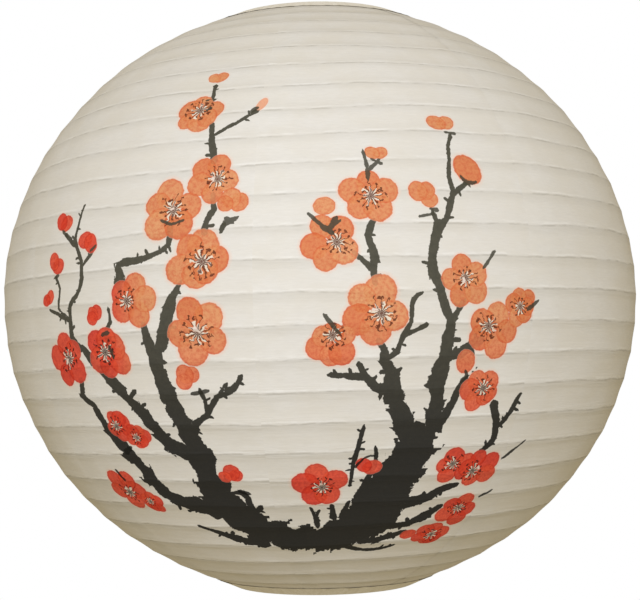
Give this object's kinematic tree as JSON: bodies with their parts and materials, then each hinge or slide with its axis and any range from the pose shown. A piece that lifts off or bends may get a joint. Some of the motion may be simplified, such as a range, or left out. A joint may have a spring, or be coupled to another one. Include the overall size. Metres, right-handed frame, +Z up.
{
  "type": "paper lantern",
  "caption": "Round folding paper lantern on a spiral wire, printed with a blossom branch, held open by a hooked wire expander and hung by its loop.",
  "frame": {"origin": "where a hook bears on the inside top of the hanging loop, on the ball's axis", "axes": "+Z up along the ball's axis, -Y towards the printed front, +X to the right seen from the front"},
  "size_m": [0.4, 0.4, 0.3714],
  "materials": {
    "printed_paper": "matte, printed with an ink branch and red blossoms",
    "plain_paper": "matte",
    "hem_paper": "matte",
    "rib_wire": "drawn wire",
    "ring_wire": "zinc plated wire",
    "sleeve": "crimped",
    "expander_wire": "zinc plated spring wire"
  },
  "bodies": {
    "frame": {"top_ring": "ring_wire", "top_ring_sleeve": "sleeve", "top_binding": "hem_paper", "rib_spiral": "rib_wire", "paper_gore_1": "printed_paper", "paper_gore_2": "printed_paper", "paper_gore_3": "plain_paper", "paper_gore_4": "plain_paper", "paper_gore_5": "plain_paper", "paper_gore_6": "plain_paper", "paper_gore_7": "printed_paper", "paper_gore_8": "printed_paper", "hanger_wire": "expander_wire"},
    "base": {"bottom_ring": "ring_wire", "bottom_ring_sleeve": "sleeve", "bottom_binding": "hem_paper"},
    "left_leg": {"left_leg": "expander_wire"},
    "right_leg": {"right_leg": "expander_wire"}
  },
  "joints": [
    {"name": "shade_fold", "type": "slide", "parent": "frame", "child": "base", "axis": [0, 0, 1], "range_m": [0, 0.3285], "deforming": ["rib_spiral", "paper_gore_1", "paper_gore_2", "paper_gore_3", "paper_gore_4", "paper_gore_5", "paper_gore_6", "paper_gore_7", "paper_gore_8"]},
    {"name": "right_leg_squeeze", "type": "hinge", "parent": "frame", "child": "right_leg", "pos_m": [0.05, 0.00625, -0.01368], "axis": [0, 1, 0], "range_deg": [0, 6]},
    {"name": "left_leg_squeeze", "type": "hinge", "parent": "frame", "child": "left_leg", "pos_m": [-0.05, -0.00625, -0.01368], "axis": [0, -1, 0], "range_deg": [0, 6]}
  ]
}
